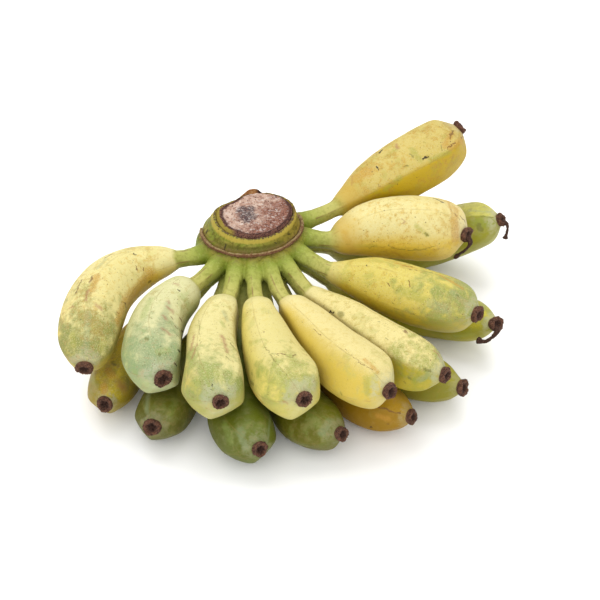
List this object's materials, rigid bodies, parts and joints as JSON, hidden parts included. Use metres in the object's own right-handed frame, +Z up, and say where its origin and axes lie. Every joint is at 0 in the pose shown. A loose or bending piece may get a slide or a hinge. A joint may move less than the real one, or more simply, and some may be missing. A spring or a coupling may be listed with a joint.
{
  "type": "hand of bananas",
  "caption": "Hand of short, stout bananas: two rows of ridged fingers fanning out from one cut crown, with dark dried blossom ends, resting on the lower row.",
  "frame": {"origin": "middle of the hand's footprint, on the surface that it rests on", "axes": "+X along the fan's width, towards the finger that stands off from the others; -Y towards the front of the fan; +Z up, the way the crown's cut face looks"},
  "size_m": [0.2924, 0.2531, 0.1051],
  "materials": {
    "peel_upper": "satin, waxy pale yellow peel with green shading, tan scuffs and brown specks",
    "peel_lower": "satin, olive green to dark mustard peel",
    "crown": "satin, fresh green with darker flecks",
    "scar": "matt, corky brown",
    "cut": "matt, dry fibrous pinkish brown",
    "blossom": "matt, shrivelled dark purplish brown"
  },
  "bodies": {
    "root": {"blossom_end_lower_1": "blossom", "blossom_end_lower_2": "blossom", "blossom_end_lower_3": "blossom", "blossom_end_lower_4": "blossom", "blossom_end_lower_5": "blossom", "blossom_end_lower_6": "blossom", "blossom_end_lower_7": "blossom", "blossom_end_lower_8": "blossom", "blossom_end_upper_1": "blossom", "blossom_end_upper_2": "blossom", "blossom_end_upper_3": "blossom", "blossom_end_upper_4": "blossom", "blossom_end_upper_5": "blossom", "blossom_end_upper_6": "blossom", "blossom_end_upper_7": "blossom", "blossom_end_upper_8": "blossom", "blossom_end_upper_9": "blossom", "crown": "crown", "cut_face": "cut", "finger_lower_1": "peel_lower", "finger_lower_2": "peel_lower", "finger_lower_3": "peel_lower", "finger_lower_4": "peel_lower", "finger_lower_5": "peel_lower", "finger_lower_6": "peel_lower", "finger_lower_7": "peel_lower", "finger_lower_8": "peel_lower", "finger_upper_1": "peel_upper", "finger_upper_2": "peel_upper", "finger_upper_3": "peel_upper", "finger_upper_4": "peel_upper", "finger_upper_5": "peel_upper", "finger_upper_6": "peel_upper", "finger_upper_7": "peel_upper", "finger_upper_8": "peel_upper", "finger_upper_9": "peel_upper", "scar_ring": "scar"}
  },
  "joints": []
}
